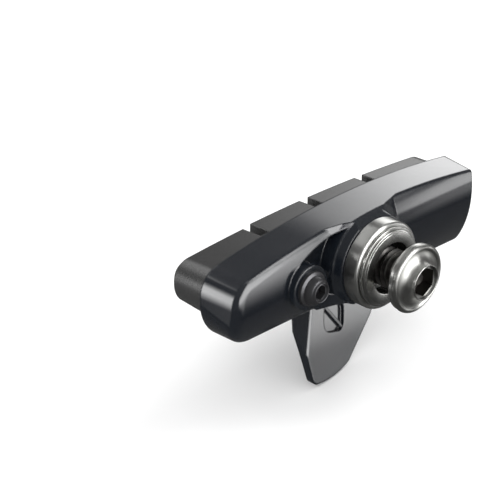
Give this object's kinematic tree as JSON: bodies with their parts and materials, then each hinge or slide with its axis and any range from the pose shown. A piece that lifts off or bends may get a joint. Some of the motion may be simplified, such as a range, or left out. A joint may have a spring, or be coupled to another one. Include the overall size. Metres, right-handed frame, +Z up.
{
  "type": "bicycle rim brake shoe",
  "caption": "Cartridge brake shoe: grooved rubber pad in a curved holder with a guide fin, and a flanged bolt with ball washers for a caliper arm.",
  "frame": {"origin": "on the fixing bolt's axis, at the outer flat face of the ball washer, where the brake arm is clamped", "axes": "+X along the shoe to the holder's open end, +Y along the bolt towards the rim, +Z up, away from the wheel's hub"},
  "size_m": [0.0559, 0.0251, 0.0264],
  "materials": {
    "gloss_black_paint": "gloss",
    "brake_rubber": "satin",
    "black_steel": "satin",
    "satin_steel": "satin",
    "polished_steel": "polished"
  },
  "bodies": {
    "root": {"holder": "gloss_black_paint", "pad_insert": "brake_rubber", "pad_fixing_screw": "black_steel", "seat_washer": "satin_steel", "ball_washer": "satin_steel", "head_washer": "satin_steel", "fixing_bolt": "polished_steel"}
  },
  "joints": []
}
